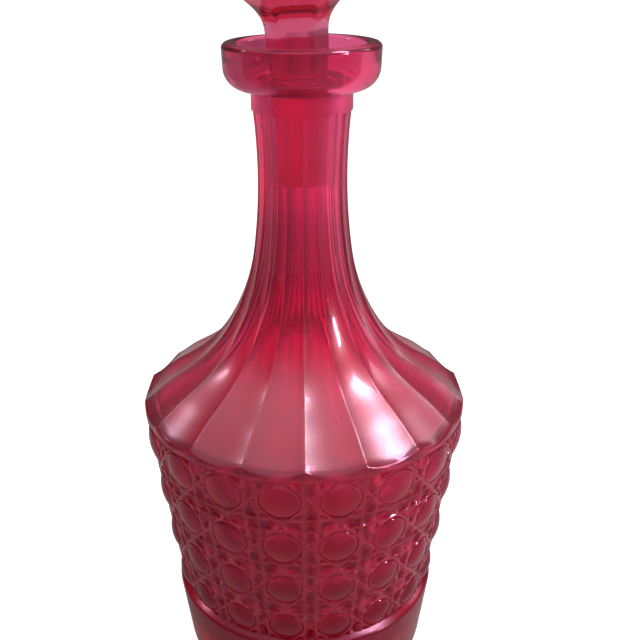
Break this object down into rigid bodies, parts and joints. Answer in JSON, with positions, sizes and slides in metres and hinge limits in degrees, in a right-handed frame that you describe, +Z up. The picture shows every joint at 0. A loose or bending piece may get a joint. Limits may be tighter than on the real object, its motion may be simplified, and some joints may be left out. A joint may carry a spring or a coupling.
{
  "type": "liqueur decanter",
  "caption": "Pressed-glass liqueur decanter with a collared mouth, fluted neck and shoulder, button-pattern body and a leaning six-sided stopper.",
  "frame": {"origin": "middle of the foot, on the surface that it stands on", "axes": "+Z up the axis of the bottle, -Y towards the viewer; the stem of the stopper leans a little towards -X"},
  "size_m": [0.0926, 0.0922, 0.2171],
  "materials": {
    "ruby_glass": "clear ruby pressed glass, fire polished",
    "stopper_glass": "clear ruby pressed glass with a ground shank"
  },
  "bodies": {
    "root": {"decanter": "ruby_glass", "stopper": "stopper_glass"}
  },
  "joints": []
}
